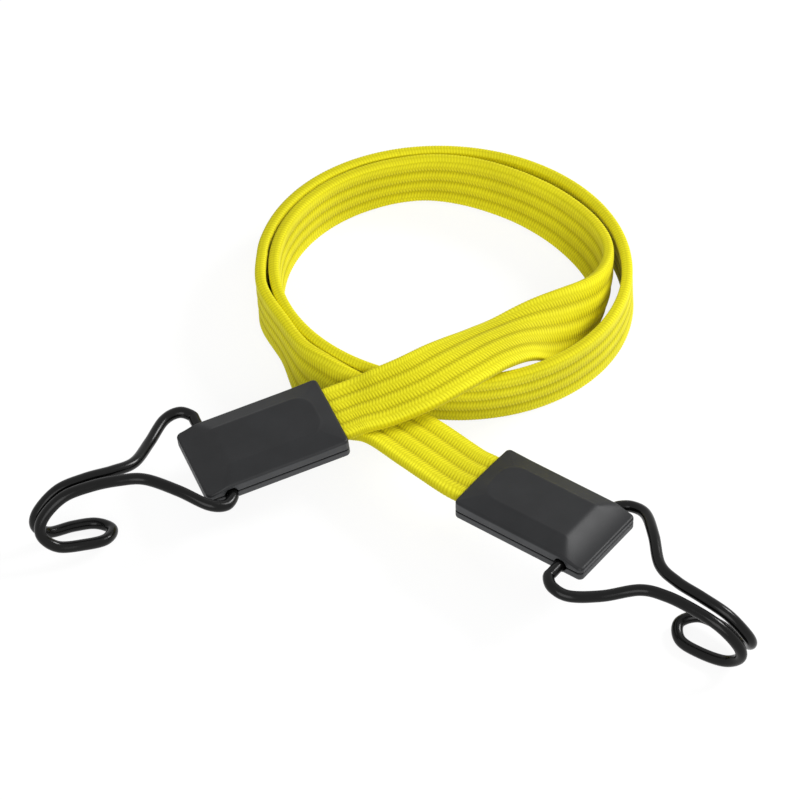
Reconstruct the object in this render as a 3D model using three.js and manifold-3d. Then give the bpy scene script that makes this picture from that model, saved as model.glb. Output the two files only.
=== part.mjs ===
// Flat bungee cord: a ribbed elastic strap laid in a coil on the floor, with a two-shell plastic
// housing and a double wire hook at each end. Millimetres, +Z up, floor at z = 0.
import * as THREE from 'three';
import { mergeVertices } from 'three/addons/utils/BufferGeometryUtils.js';
import Module from 'manifold-3d';

// Strap
const strapWidth = 18;
const strapThickness = 2.9;
const ribCount = 4;
const ribDepth = 0.45;
const edgeThickness = 1.4;
const strandWidth = 2.7;
const strandThickness = 1.5;
const strandSides = 6;
const strandClearance = 0.25;
const jointGap = 0.3;

// Coil, laid on edge: an ellipse that opens by one turn spacing in each turn
const coilStart = 110;
const coilEnd = 540;
const coilStep = 10;
const coilCentre = [13.0, 33.5];
const coilRadiusX = 44.3;
const coilRadiusY = 38.0;
const coilTurn = -4.3;
const turnSpacing = 3.4;
const leanAngle = 8.5;
const leanPhase = 20;

// Housing: x runs from the mouth at -housingLength to the hook end at 0, z up from the underside
const housingLength = 39.2;
const housingWidth = 24;
const lowerHeight = 2.4;
const seamGap = 0.3;
const wallTop = 5.4;
const panelTop = 7.2;
const mouthTop = 6;
const rampEnd = 4.2;
const panelInset = 5.5;
const mouthBevel = 4.6;
const rampLength = 8.5;
const rampHollow = 1.7;
const planCorner = 1.4;
const underChamfer = 0.9;
const strapHeight = 3.3;
const strapClearance = 0.3;

// Steel clip on each end of the strap
const clipSheet = 0.6;
const clipLength = 9;
const clipWidth = 14.4;
const clipFromHookEnd = 15;
const clipClearance = 0.3;

// Hook wire; its stations run out from the pivot, with the hook's depth below the run
const wireDiameter = 3.0;
const wireClearance = 0.3;
const wireSides = 8;
const wireSteps = 88;
const pivotFromHookEnd = 6.5;
const stubEnd = 7;
const legSpread = 17.2;
const runSpread = 2.0;
const tipSpread = 4.6;
const hookReach = 48.2;
const hookDepth = 13;
const returnDrop = 2;
const tipFromPivot = 28.8;
const hookLean = -14;
const legOffset = -2.0;

// Where each end lies: hook end of the underside, then yaw, pitch and roll in degrees, and the
// turn of the hook about its pivot that lays its tip on the floor
const endA = { at: [-52.9, -33.8, 9.5], yaw: 202.3, pitch: 5, roll: 2.6, swing: 9.25 };
const endB = { at: [52.1, -63.7, 15.0], yaw: -36.3, pitch: -4, roll: -4.4, swing: -8.16 };

// Free stretches of the strap: x, y, z of the middle of the strap, its roll, 90 on edge, and its cup,
// the angle that its edges are curled away from the outer face
const leadStationsA = [
  [-4.7, -14.9, 18.4, 4.5, 0],
  [4.4, -11.8, 20.6, 5, 0],
  [11.2, -7.8, 21.6, 2.1, 8],
  [17.3, -3.4, 21.5, -2.6, 16],
  [23.9, 1.8, 20.5, -6.9, 22],
  [31.9, 7.6, 18.3, 1.8, 29],
  [43.8, 14.5, 14.6, 48.4, 34],
  [51.2, 21.8, 12, 78.2, 27],
  [54.8, 30.3, 10.3, 92.9, 19],
  [54.6, 39.3, 9.3, 100.7, 11],
  [50.6, 48.3, 9, 102.2, 8],
  [43.1, 56.9, 9.2, 98.7, 6],
  [33.9, 63.7, 9.4, 94.1, 4],
  [24.6, 68.4, 9.4, 91.1, 3],
  [16, 71.1, 9.4, 87.9, 3],
  [7.9, 72, 9.3, 84.8, 1],
];
const leadStationsB = [
  [-36.1, 24.5, 10, 92.2],
  [-30.1, 12.1, 10, 91.5],
  [-25.6, 3, 9.5, 80],
  [-21, -3.8, 10.1, 60],
  [-16, -9.2, 10.9, 39.6],
  [-10.2, -13.8, 12.2, 15],
  [-3.4, -18.8, 13.3, -5.8],
  [6, -27.4, 14.3, -3.7],
];
const leadStepsA = 42;
const leadStepsB = 20;

// The origin lies under the middle of the two ends
const originX = -2.78;
const originY = -49.55;

const wasm = await Module();
wasm.setup();
const radians = THREE.MathUtils.degToRad;

const finishes = {
  cover: new THREE.MeshStandardMaterial({ color: '#e6dc14', roughness: 0.8, metalness: 0 }),
  rubber: new THREE.MeshStandardMaterial({ color: '#8a7a58', roughness: 0.9, metalness: 0 }),
  plastic: new THREE.MeshStandardMaterial({ color: '#232426', roughness: 0.5, metalness: 0 }),
  steel: new THREE.MeshStandardMaterial({ color: '#b4b6b8', roughness: 0.4, metalness: 1 }),
  wire: new THREE.MeshStandardMaterial({ color: '#141416', roughness: 0.25, metalness: 0 }),
};

// A point of the strap's section when the section is curled on an arc; cup is the turn at its edges
function curled(p, cup) {
  if (cup === 0) return new THREE.Vector3(p.x, p.y, 0);
  const radius = strapWidth / 2 / radians(cup);
  const turn = p.x / radius;
  return new THREE.Vector3((radius + p.y) * Math.sin(turn), (radius + p.y) * Math.cos(turn) - radius, 0);
}

// Closed solid through a row of frames. outlineAt(i) is the outline at frame i, counter-clockwise
// in the frame's x and y; the holes are the same at every frame, and cups[i] curls the section.
function skin(frames, outlineAt, holes = [], cups = []) {
  const position = [];
  const index = [];
  frames.forEach((frame, i) => {
    [outlineAt(i), ...holes].flat().forEach((p) => {
      position.push(...curled(p, cups[i] ?? 0).applyMatrix4(frame).toArray());
    });
  });
  const contours = [outlineAt(0), ...holes];
  const count = contours.flat().length;
  let first = 0;
  contours.forEach((contour, k) => {
    for (let i = 0; i < frames.length - 1; i += 1) {
      for (let j = 0; j < contour.length; j += 1) {
        const a = i * count + first + j;
        const b = i * count + first + ((j + 1) % contour.length);
        const quad = [a, b, b + count, a, b + count, a + count];
        index.push(...(k === 0 ? quad : quad.reverse()));
      }
    }
    first += contour.length;
  });
  const far = (frames.length - 1) * count;
  THREE.ShapeUtils.triangulateShape(outlineAt(0), holes).forEach(([a, b, c]) => index.push(c, b, a));
  THREE.ShapeUtils.triangulateShape(outlineAt(frames.length - 1), holes).forEach(([a, b, c]) => {
    index.push(far + a, far + b, far + c);
  });
  const geometry = new THREE.BufferGeometry();
  geometry.setAttribute('position', new THREE.Float32BufferAttribute(position, 3));
  geometry.setIndex(index);
  return geometry;
}

function toSolid(geometry) {
  const bare = geometry.clone();
  bare.deleteAttribute('normal');
  bare.deleteAttribute('uv');
  const merged = mergeVertices(bare, 1e-4);
  return new wasm.Manifold(new wasm.Mesh({
    numProp: 3,
    vertProperties: new Float32Array(merged.attributes.position.array),
    triVerts: new Uint32Array(merged.index.array),
  }));
}

function toGeometry(solid) {
  const mesh = solid.getMesh();
  const geometry = new THREE.BufferGeometry();
  geometry.setAttribute('position', new THREE.Float32BufferAttribute(mesh.vertProperties, 3));
  geometry.setIndex([...mesh.triVerts]);
  return geometry;
}

function box(x0, x1, width, z0, z1) {
  const geometry = new THREE.BoxGeometry(x1 - x0, width, z1 - z0);
  geometry.translate((x0 + x1) / 2, 0, (z0 + z1) / 2);
  return geometry;
}

function node(name, geometry, finish) {
  const mesh = new THREE.Mesh(geometry, finish);
  mesh.name = name;
  mesh.position.set(-originX, -originY, 0);
  geometry.computeVertexNormals();
  return mesh;
}

// Strap section: ribs on both faces, thinner edges, and one lumen in each rib
const ribPitch = (strapWidth - 0.6) / ribCount;
const ribCentres = [];
for (let i = 0; i < ribCount; i += 1) {
  ribCentres.push((i - (ribCount - 1) / 2) * ribPitch);
}

function strapOutline() {
  const under = [new THREE.Vector2(-strapWidth / 2, -edgeThickness / 2)];
  ribCentres.forEach((centre, i) => {
    under.push(new THREE.Vector2(centre, -strapThickness / 2));
    if (i < ribCount - 1) {
      under.push(new THREE.Vector2(centre + ribPitch / 2, -strapThickness / 2 + ribDepth));
    }
  });
  under.push(new THREE.Vector2(strapWidth / 2, -edgeThickness / 2));
  const over = under.map((p) => new THREE.Vector2(p.x, -p.y)).reverse();
  return [...under, ...over];
}

function oval(centre, width, thickness, sides) {
  const points = [];
  for (let i = 0; i < sides; i += 1) {
    const turn = (2 * Math.PI * i) / sides;
    points.push(new THREE.Vector2(centre + (width / 2) * Math.cos(turn), (thickness / 2) * Math.sin(turn)));
  }
  return points;
}

// Frame of the strap at a point: x across the strap, y out of its outer face, z along it
function strapFrame(point, tangent, roll) {
  const along = tangent.clone().normalize();
  const left = new THREE.Vector3(0, 0, 1).cross(along).normalize();
  const up = along.clone().cross(left);
  const across = up.multiplyScalar(Math.sin(radians(roll))).addScaledVector(left, Math.cos(radians(roll)));
  const out = along.clone().cross(across);
  return new THREE.Matrix4().makeBasis(across, out, along).setPosition(point);
}

function coilPoint(angle) {
  const grow = (turnSpacing * angle) / 360;
  const x = (coilRadiusX + grow) * Math.cos(radians(angle));
  const y = (coilRadiusY + grow) * Math.sin(radians(angle));
  const lean = -leanAngle * Math.sin(radians(angle + leanPhase));
  const halfWidth = (strapWidth / 2) * Math.cos(radians(lean));
  const halfEdge = (edgeThickness / 2) * Math.abs(Math.sin(radians(lean)));
  const point = new THREE.Vector3(x, y, 0).applyAxisAngle(new THREE.Vector3(0, 0, 1), radians(coilTurn));
  point.add(new THREE.Vector3(coilCentre[0], coilCentre[1], halfWidth + halfEdge));
  return { point, roll: 90 + lean };
}

function coilFrame(angle) {
  const { point, roll } = coilPoint(angle);
  const tangent = coilPoint(angle + 0.5).point.sub(coilPoint(angle - 0.5).point).setZ(0);
  return strapFrame(point, tangent, roll);
}

// Frames and cups along stations of x, y, z, roll and cup, at equal steps of length
function routeFrames(stations, steps) {
  const points = stations.map(([x, y, z]) => new THREE.Vector3(x, y, z));
  const turns = stations.map((station) => new THREE.Vector3(station[3], station[4] ?? 0, 0));
  const route = new THREE.CatmullRomCurve3(points, false, 'catmullrom', 0.5);
  const turnRoute = new THREE.CatmullRomCurve3(turns, false, 'catmullrom', 0.5);
  route.arcLengthDivisions = 600;
  const frames = [];
  const cups = [];
  for (let i = 0; i <= steps; i += 1) {
    const t = route.getUtoTmapping(i / steps);
    const turn = turnRoute.getPoint(t);
    frames.push(strapFrame(route.getPoint(t), route.getTangent(t), turn.x));
    cups.push(Math.max(turn.y, 0));
  }
  return { frames, cups };
}

function pose(end) {
  const turn = new THREE.Euler(radians(end.roll), radians(end.pitch), radians(end.yaw), 'ZYX');
  return new THREE.Matrix4().makeRotationFromEuler(turn).setPosition(...end.at);
}

// Stations of the strap inside a housing and just out of its mouth, from the clip outwards
function mouthStations(end, roll) {
  const inner = -(clipFromHookEnd + clipSheet + strapClearance);
  const place = pose(end);
  return [inner, (inner - housingLength) / 2, -housingLength, -housingLength - 6].map((x) => {
    return [...new THREE.Vector3(x, 0, strapHeight).applyMatrix4(place).toArray(), roll];
  });
}

const coilFrames = [];
for (let angle = coilStart; angle <= coilEnd; angle += coilStep) {
  coilFrames.push(coilFrame(angle));
}
const coilIn = coilPoint(coilStart);
const coilOut = coilPoint(coilEnd);
const leadA = routeFrames(
  [...mouthStations(endA, -endA.roll), ...leadStationsA, [...coilIn.point.toArray(), coilIn.roll]],
  leadStepsA,
);
const leadB = routeFrames(
  [[...coilOut.point.toArray(), coilOut.roll], ...leadStationsB, ...mouthStations(endB, endB.roll).reverse()],
  leadStepsB,
);
leadA.frames[leadStepsA] = coilFrame(coilStart).multiply(new THREE.Matrix4().makeTranslation(0, 0, -jointGap));
leadB.frames[0] = coilFrame(coilEnd).multiply(new THREE.Matrix4().makeTranslation(0, 0, jointGap));

// Least gap between the coil's turns, measured on the points of rings half a turn or more apart
function coilGap() {
  const outline = strapOutline();
  const rings = coilFrames.map((frame) => {
    return outline.map((p) => new THREE.Vector3(p.x, p.y, 0).applyMatrix4(frame));
  });
  const apart = 180 / coilStep;
  let least = Infinity;
  for (let i = 0; i < rings.length; i += 1) {
    for (let j = i + apart; j < rings.length; j += 1) {
      rings[i].forEach((p) => rings[j].forEach((q) => {
        least = Math.min(least, p.distanceTo(q));
      }));
    }
  }
  return least;
}
console.log(`least gap between the turns of the coil: ${coilGap().toFixed(2)} mm`);

function strapNodes(place, frames, cups) {
  const outline = strapOutline();
  const lumens = ribCentres.map((centre) => {
    return oval(centre, strandWidth + 2 * strandClearance, strandThickness + 2 * strandClearance, strandSides);
  });
  const nodes = [node(`cover_${place}`, skin(frames, () => outline, lumens, cups), finishes.cover)];
  ribCentres.forEach((centre, i) => {
    const strand = oval(centre, strandWidth, strandThickness, strandSides);
    nodes.push(node(`rubber_strand_${i + 1}_${place}`, skin(frames, () => strand, [], cups), finishes.rubber));
  });
  return nodes;
}

// Housing stations along x: half width in plan, and the half width and height of the top face. The
// ramp is hollow, and meets each sloping side where the two are at the same height.
function housingStations() {
  const half = housingWidth / 2;
  const mouth = -housingLength;
  const panel = half - panelInset;
  const rampStation = (share) => {
    const height = rampEnd + (panelTop - rampEnd) * share ** rampHollow;
    const slope = Math.max((height - wallTop) / (panelTop - wallTop), 0.1);
    return [-rampLength * share, half, half - panelInset * slope, height];
  };
  return [
    [mouth, half - 0.9 * planCorner, half - 2.8, mouthTop],
    [mouth + 0.3 * planCorner, half - 0.3 * planCorner, half - 2.4, mouthTop + 0.1],
    [mouth + planCorner, half, half - 3, mouthTop + 0.4],
    [mouth + mouthBevel, half, panel - 3, panelTop],
    [mouth + mouthBevel + 1, half, panel - 1.5, panelTop],
    [mouth + mouthBevel + 3, half, panel, panelTop],
    rampStation(1),
    rampStation(0.8),
    rampStation(0.6),
    rampStation(0.4),
    rampStation(planCorner / rampLength),
    [-0.3 * planCorner, half - 0.3 * planCorner, half - 1.2, rampEnd],
    [0, half - 0.9 * planCorner, half - 1.8, rampEnd - 0.1],
  ];
}

function acrossFrame(x) {
  return new THREE.Matrix4().makeBasis(
    new THREE.Vector3(0, 1, 0),
    new THREE.Vector3(0, 0, 1),
    new THREE.Vector3(1, 0, 0),
  ).setPosition(x, 0, 0);
}

function mirrored(points) {
  const left = points.map(([y, z]) => new THREE.Vector2(-y, z));
  return [...points.map(([y, z]) => new THREE.Vector2(y, z)), ...left.reverse()];
}

function housingShells() {
  const stations = housingStations();
  const frames = stations.map(([x]) => acrossFrame(x));
  const seamTop = lowerHeight + seamGap;
  const upper = skin(frames, (i) => {
    const [, half, top, height] = stations[i];
    return mirrored([[half, seamTop], [half, Math.min(wallTop, height - 0.2)], [top, height]]);
  });
  const lower = skin(frames, (i) => {
    const half = stations[i][1];
    return mirrored([[half - underChamfer, 0], [half, underChamfer], [half, lowerHeight]]);
  });
  const slot = strapThickness / 2 + strapClearance;
  const pocket = slot + clipSheet + clipClearance;
  const pocketStart = -(clipFromHookEnd + clipLength + clipClearance);
  const pocketEnd = -clipFromHookEnd + clipClearance;
  const slotEnd = -(clipFromHookEnd + clipSheet);
  const bore = new THREE.CylinderGeometry(
    wireDiameter / 2 + wireClearance,
    wireDiameter / 2 + wireClearance,
    housingWidth + 4,
    20,
  );
  bore.translate(-pivotFromHookEnd, 0, lowerHeight + seamGap / 2);
  const spaces = [
    box(-housingLength - 1, slotEnd, strapWidth + 2 * strapClearance, strapHeight - slot, strapHeight + slot),
    box(pocketStart, pocketEnd, clipWidth + 2 * clipClearance, strapHeight - pocket, strapHeight + pocket),
    bore,
  ];
  return [upper, lower].map((shell) => {
    return toGeometry(spaces.reduce((solid, space) => solid.subtract(toSolid(space)), toSolid(shell)));
  });
}

function clip() {
  const inner = strapThickness / 2 + strapClearance;
  const start = -(clipFromHookEnd + clipLength);
  const outer = toSolid(box(start, -clipFromHookEnd, clipWidth, strapHeight - inner - clipSheet, strapHeight + inner + clipSheet));
  const fold = box(start - 1, -clipFromHookEnd - clipSheet, clipWidth + 2, strapHeight - inner, strapHeight + inner);
  return toGeometry(outer.subtract(toSolid(fold)));
}

// Half of the hook wire from the stub in the housing to the middle of the tip: distance out from
// the pivot, height over the pivot, and half the spread of the two strands
function hookStations() {
  const run = 1.8;
  return [
    [0, 0, stubEnd],
    [0, 0, housingWidth / 2 + 1.2],
    [0.2, 0, legSpread - 2],
    [3, 0.2, legSpread + 0.2],
    [7.5, 0.5, legSpread - 0.6],
    [13.5, 1.1, 11],
    [20, run, 4.3],
    [26.5, run + 0.6, runSpread + 0.4],
    [34, run + 1, runSpread],
    [hookReach - 6.7, run, runSpread - 0.1],
    [hookReach - 1, run - 0.35 * hookDepth, runSpread - 0.1],
    [hookReach, run - 0.7 * hookDepth, runSpread + 0.4],
    [hookReach - 3.7, run - hookDepth, tipSpread - 1],
    [hookReach - 10.5, run - hookDepth - 0.5 * returnDrop, tipSpread],
    [tipFromPivot + 3, run - hookDepth - 0.85 * returnDrop, tipSpread - 0.6],
    [tipFromPivot, run - hookDepth - returnDrop, 0],
  ];
}

function hookWire(swing) {
  const half = hookStations();
  const other = half.slice(0, -1).map(([x, y, spread]) => [x, y, -spread]).reverse();
  const turn = new THREE.Matrix4().makeRotationY(radians(-swing));
  const points = [...half, ...other].map(([x, y, spread]) => {
    const lean = radians(hookLean) * THREE.MathUtils.smoothstep(x, 2, 20);
    const height = y * Math.cos(lean) - spread * Math.sin(lean);
    const side = y * Math.sin(lean) + spread * Math.cos(lean) + legOffset * (1 - x / hookReach);
    return new THREE.Vector3(x, side, height).applyMatrix4(turn);
  });
  const curve = new THREE.CatmullRomCurve3(points, false, 'catmullrom', 0.5);
  curve.arcLengthDivisions = 800;
  const { tangents, normals, binormals } = curve.computeFrenetFrames(wireSteps, false);
  const frames = tangents.map((tangent, i) => {
    return new THREE.Matrix4().makeBasis(normals[i], binormals[i], tangent).setPosition(curve.getPointAt(i / wireSteps));
  });
  const round = oval(0, wireDiameter, wireDiameter, wireSides);
  const geometry = skin(frames, () => round);
  geometry.translate(-pivotFromHookEnd, 0, lowerHeight + seamGap / 2);
  return geometry;
}

function endNodes(letter, end) {
  const place = pose(end);
  const [upper, lower] = housingShells();
  const pieces = [
    [`housing_upper_${letter}`, upper, finishes.plastic],
    [`housing_lower_${letter}`, lower, finishes.plastic],
    [`strap_clip_${letter}`, clip(), finishes.steel],
    [`wire_hook_${letter}`, hookWire(end.swing), finishes.wire],
  ];
  return pieces.map(([name, geometry, finish]) => node(name, geometry.applyMatrix4(place), finish));
}

const cord = new THREE.Group();
cord.name = 'bungee_cord';
cord.add(...strapNodes('lead_a', leadA.frames, leadA.cups));
cord.add(...strapNodes('coil', coilFrames, []));
cord.add(...strapNodes('lead_b', leadB.frames, leadB.cups));
cord.add(...endNodes('a', endA));
cord.add(...endNodes('b', endB));

export default cord;
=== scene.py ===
# %% [markdown]
# # A flat bungee cord, dressed around its CAD frame
#
# The object is a flat elastic strap, 18 mm wide, laid down in a loose coil of about a turn and
# a half. Each end of the strap is held in a two-shell plastic housing, and a hook bent from one
# wire swings in each housing. The CAD model gives the sizes and the joints. This file gives the
# looks: every surface below is worked out with numpy in millimetres and put into a mesh in
# metres.

# %% Load the frame
import math
import bmesh
import bpy
import numpy as np
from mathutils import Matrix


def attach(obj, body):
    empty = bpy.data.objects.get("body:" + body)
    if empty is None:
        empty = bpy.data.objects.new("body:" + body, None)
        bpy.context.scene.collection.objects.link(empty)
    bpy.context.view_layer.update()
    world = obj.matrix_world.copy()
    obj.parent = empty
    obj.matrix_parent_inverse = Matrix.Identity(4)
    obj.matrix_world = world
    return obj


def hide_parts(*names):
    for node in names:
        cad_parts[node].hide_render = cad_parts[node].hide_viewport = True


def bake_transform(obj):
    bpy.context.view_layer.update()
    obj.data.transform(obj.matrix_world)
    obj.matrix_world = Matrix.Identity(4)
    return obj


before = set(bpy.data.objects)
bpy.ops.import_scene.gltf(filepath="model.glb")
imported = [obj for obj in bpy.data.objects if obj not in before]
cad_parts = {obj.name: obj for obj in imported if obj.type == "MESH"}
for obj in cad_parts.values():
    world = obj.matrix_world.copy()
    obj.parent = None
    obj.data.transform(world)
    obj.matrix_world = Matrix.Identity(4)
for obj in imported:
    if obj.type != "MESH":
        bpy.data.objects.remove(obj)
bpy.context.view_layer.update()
scene = bpy.context.scene
scene.view_settings.view_transform = "Standard"
MM = 0.001
print("nodes in the frame:", len(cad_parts))

# %% [markdown]
# ## Camera
#
# The photograph was taken from in front, well above the floor, with a long lens: the two hooks
# are nearly the same size although one lies nearer. A distance of about a metre with a 180 mm
# lens gives that flat perspective. The picture is square, 800 by 800.

# %% Camera
PICTURE_SIDE = 800
FOCAL_PIXELS = 4000
SENSOR_MM = 36.0
CAMERA_TARGET = np.array([2.78, 49.55, 0.0])
CAMERA_ELEVATION = math.radians(49.5)
CAMERA_DISTANCE = 1052.6

camera_data = bpy.data.cameras.new("camera")
camera_data.sensor_width = SENSOR_MM
camera_data.lens = SENSOR_MM * FOCAL_PIXELS / PICTURE_SIDE
camera = bpy.data.objects.new("camera", camera_data)
towards_camera = np.array([0.0, -math.cos(CAMERA_ELEVATION), math.sin(CAMERA_ELEVATION)])
camera.location = (CAMERA_TARGET + CAMERA_DISTANCE * towards_camera) * MM
camera.rotation_euler = (math.pi / 2 - CAMERA_ELEVATION, 0.0, 0.0)
scene.collection.objects.link(camera)
scene.camera = camera
print("camera lens in mm:", camera_data.lens)

# %% [markdown]
# ## The route of the strap
#
# The strap leaves housing A flat, rises over its own turns, twists onto its edge in the right
# bend, stands on edge all round the coil, twists flat again on the left and runs under itself
# to housing B. The free stretches are points given one by one, as in the CAD part,
# and the turns come from an ellipse that opens by one turn spacing in each turn. One smooth
# curve through all of them is better than three, because the strap then has no kink where a
# free stretch meets the coil.

# %% Ends and free stretches
# Places of the hook ends in millimetres, and angles in degrees. They were fitted in axes whose
# origin is the point that the camera aims at.
FRAME_SHIFT = CAMERA_TARGET
END_A = {"at": (-52.9, -33.8, 9.5), "yaw": 202.3, "pitch": 5.0, "roll": 2.6, "swing": 9.25}
END_B = {"at": (52.1, -63.7, 15.0), "yaw": -36.3, "pitch": -4.0, "roll": -4.4, "swing": -8.16}

# x, y, z in millimetres, the roll in degrees, 0 flat and 90 on edge, and the cup, the angle in
# degrees that the edges are curled away from the outer face
LEAD_A = [
    (-4.7, -14.9, 18.4, 4.5, 0.0), (4.4, -11.8, 20.6, 5.0, 0.0), (11.2, -7.8, 21.6, 2.1, 8.0),
    (17.3, -3.4, 21.5, -2.6, 16.0), (23.9, 1.8, 20.5, -6.9, 22.0), (31.9, 7.6, 18.3, 1.8, 29.0),
    (43.8, 14.5, 14.6, 48.4, 34.0), (51.2, 21.8, 12.0, 78.2, 27.0), (54.8, 30.3, 10.3, 92.9, 19.0),
    (54.6, 39.3, 9.3, 100.7, 11.0), (50.6, 48.3, 9.0, 102.2, 8.0), (43.1, 56.9, 9.2, 98.7, 6.0),
    (33.9, 63.7, 9.4, 94.1, 4.0), (24.6, 68.4, 9.4, 91.1, 3.0), (16.0, 71.1, 9.4, 87.9, 3.0),
    (7.9, 72.0, 9.3, 84.8, 1.0),
]
LEAD_B = [
    (-36.1, 24.5, 10.0, 92.2, 0.0), (-30.1, 12.1, 10.0, 91.5, 0.0), (-25.6, 3.0, 9.5, 80.0, 0.0),
    (-21.0, -3.8, 10.1, 60.0, 0.0), (-16.0, -9.2, 10.9, 39.6, 0.0), (-10.2, -13.8, 12.2, 15.0, 0.0),
    (-3.4, -18.8, 13.3, -5.8, 0.0), (6.0, -27.4, 14.3, -3.7, 0.0),
]
print("points of the free stretches:", len(LEAD_A), len(LEAD_B))


# %% From a piece's own axes to the shared frame
def turned(yaw, pitch, roll):
    """Turn matrix: roll about x, then pitch about y, then yaw about z, in degrees."""
    cz, cy, cx = np.cos(np.radians([yaw, pitch, roll]))
    sz, sy, sx = np.sin(np.radians([yaw, pitch, roll]))
    about_z = np.array([[cz, -sz, 0], [sz, cz, 0], [0, 0, 1]])
    about_y = np.array([[cy, 0, sy], [0, 1, 0], [-sy, 0, cy]])
    about_x = np.array([[1, 0, 0], [0, cx, -sx], [0, sx, cx]])
    return about_z @ about_y @ about_x


def in_frame(points, end):
    """Points of an end's own axes, moved to where that end lies in the shared frame."""
    axes = turned(end["yaw"], end["pitch"], end["roll"])
    return np.asarray(points) @ axes.T + np.array(end["at"]) + FRAME_SHIFT


def stations_in_frame(stations):
    """Stations of a free stretch, moved to the shared frame."""
    return np.array(stations) + np.append(FRAME_SHIFT, [0.0, 0.0])


print("hook ends apart in mm:",
      round(float(np.linalg.norm(np.subtract(END_A["at"], END_B["at"]))), 1))

# %% Stations of the route
HOUSING_LENGTH = 39.2
STRAP_HEIGHT = 3.3
STRAP_END_FROM_HOOK_END = 15.9
STRAIGHT_PAST_MOUTH = 6.0
STRAP_WIDTH = 18.0
EDGE_THICKNESS = 1.4
COIL_START = 110.0
COIL_END = 540.0
COIL_STEP = 10.0
COIL_CENTRE = (13.0, 33.5)
COIL_RADII = (44.3, 38.0)
COIL_TURN = math.radians(-4.3)
TURN_SPACING = 3.4
LEAN_ANGLE = 8.5
LEAN_PHASE = 20.0


def mouth_stations(end, roll):
    """The strap in a housing and just out of its mouth, straight along the housing."""
    inner = -STRAP_END_FROM_HOOK_END
    halfway = (inner - HOUSING_LENGTH) / 2
    along = np.array([inner, halfway, -HOUSING_LENGTH, -HOUSING_LENGTH - STRAIGHT_PAST_MOUTH])
    places = in_frame(np.stack([along, 0 * along, 0 * along + STRAP_HEIGHT], axis=1), end)
    return np.column_stack([places, np.full(len(along), roll), 0 * along])


def coil_stations(angles):
    """An ellipse whose radii grow with the angle, turned a little; the strap leans in and out
    as it goes round, and its lower edge stays on the floor."""
    angle = np.radians(angles)
    grow = TURN_SPACING * angles / 360
    x = (COIL_RADII[0] + grow) * np.cos(angle)
    y = (COIL_RADII[1] + grow) * np.sin(angle)
    lean = np.radians(-LEAN_ANGLE * np.sin(np.radians(angles + LEAN_PHASE)))
    z = STRAP_WIDTH / 2 * np.cos(lean) + EDGE_THICKNESS / 2 * np.abs(np.sin(lean))
    places = np.stack([
        x * math.cos(COIL_TURN) - y * math.sin(COIL_TURN) + COIL_CENTRE[0],
        x * math.sin(COIL_TURN) + y * math.cos(COIL_TURN) + COIL_CENTRE[1],
        z,
    ], axis=1) + FRAME_SHIFT
    return np.column_stack([places, 90 + np.degrees(lean), 0 * lean])


mouth_a = mouth_stations(END_A, -END_A["roll"])
stations = np.concatenate([
    mouth_a,
    stations_in_frame(LEAD_A),
    coil_stations(np.arange(COIL_START, COIL_END + 1, COIL_STEP)),
    stations_in_frame(LEAD_B),
    mouth_stations(END_B, END_B["roll"])[::-1],
])
print("stations of the strap's route:", len(stations))

# %% A smooth curve with equal steps
STITCH_PITCH = 0.83
RING_STEP = STITCH_PITCH / 4


def catmull_rom(points, per_span):
    """Curve through all points: in each span a cubic whose slope at a point is half the step
    from the point before to the point after. The ends are carried on in a straight line."""
    before = np.concatenate([[2 * points[0] - points[1]], points[:-1]])[:-1]
    start, stop = points[:-1], points[1:]
    after = np.concatenate([points[2:], [2 * points[-1] - points[-2]]])
    slope_in, slope_out = (stop - before) / 2, (after - start) / 2
    t = (np.arange(per_span) / per_span)[None, :, None]
    start, stop, slope_in, slope_out = (a[:, None, :] for a in (start, stop, slope_in, slope_out))
    curve = start + slope_in * t + (3 * (stop - start) - 2 * slope_in - slope_out) * t**2
    curve = curve + (2 * (start - stop) + slope_in + slope_out) * t**3
    return np.concatenate([curve.reshape(-1, points.shape[1]), points[-1:]])


def equal_steps(curve, step):
    """The same curve at equal steps of its length, with the length at each point."""
    steps = np.linalg.norm(np.diff(curve[:, :3], axis=0), axis=1)
    travelled = np.concatenate([[0], np.cumsum(steps)])
    count = int(round(travelled[-1] / step))
    length = np.linspace(0, travelled[-1], count + 1)
    return length, np.stack([np.interp(length, travelled, column) for column in curve.T], axis=1)


SPAN_POINTS = 160
fine = catmull_rom(stations, SPAN_POINTS)
strap_length, route = equal_steps(fine, RING_STEP)
print("whole strap in mm:", round(strap_length[-1], 1), "rings:", len(route))


# %% The strap's own axes
def unit(vectors):
    """Each vector at length one."""
    return vectors / np.linalg.norm(vectors, axis=-1, keepdims=True)


along = unit(np.gradient(route[:, :3], axis=0))
leftward = unit(np.cross([0.0, 0.0, 1.0], along))
upward = np.cross(along, leftward)
roll = np.radians(route[:, 3])[:, None]
across = upward * np.sin(roll) + leftward * np.cos(roll)
outward = np.cross(along, across)
curl = np.radians(np.maximum(route[:, 4], 0.0)) / (STRAP_WIDTH / 2)


def carried(rings, x, y):
    """Points of a section at rings of the route: x across and y through the strap, wrapped on an
    arc of curvature curl. Where curl is 0 the arc is flat; sinc keeps that case smooth."""
    k = curl[rings][:, None]
    sideways = x * np.sinc(k * x / math.pi) + y * np.sin(k * x)
    outwards = y * np.cos(k * x) - k * x**2 / 2 * np.sinc(k * x / (2 * math.pi)) ** 2
    place = route[rings, None, :3] + sideways[..., None] * across[rings, None]
    return place + outwards[..., None] * outward[rings, None]


print("tightest bend of the middle line in mm:",
      round(float(RING_STEP / np.linalg.norm(np.diff(along, axis=0), axis=1).max()), 1))

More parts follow.
